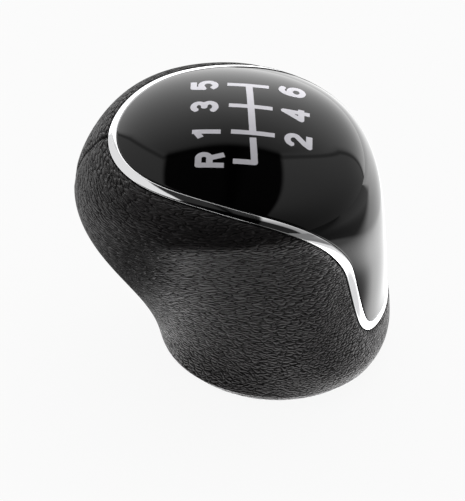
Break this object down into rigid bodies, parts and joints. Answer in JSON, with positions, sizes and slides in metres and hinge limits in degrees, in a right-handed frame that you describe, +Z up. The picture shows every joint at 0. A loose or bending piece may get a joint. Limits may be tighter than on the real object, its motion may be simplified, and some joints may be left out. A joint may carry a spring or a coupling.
{
  "type": "gear shift knob",
  "caption": "Leather-wrapped gear shift knob with a gloss cap, a looping bright trim ring and a threaded socket for the lever.",
  "frame": {"origin": "on the lever axis at the mouth of the threaded insert", "axes": "+Z up along the lever axis, +Y forward in the car, where the head overhangs, +X to the car's right"},
  "size_m": [0.0572, 0.0678, 0.0559],
  "materials": {
    "leather": "fine pebble grain, satin",
    "gloss_black": "piano black lacquer with a printed light grey shift pattern",
    "chrome": "bright chrome",
    "core_plastic": "moulded, matte",
    "brass": "turned",
    "hem_plastic": "fine matte",
    "screw_steel": "zinc plated"
  },
  "bodies": {
    "root": {"leather_cover": "leather", "trim_ring": "chrome", "gloss_cap": "gloss_black", "core": "core_plastic", "lever_insert": "brass", "hem_ring": "hem_plastic", "hem_screw_1": "screw_steel", "hem_screw_2": "screw_steel", "hem_screw_3": "screw_steel"}
  },
  "joints": []
}
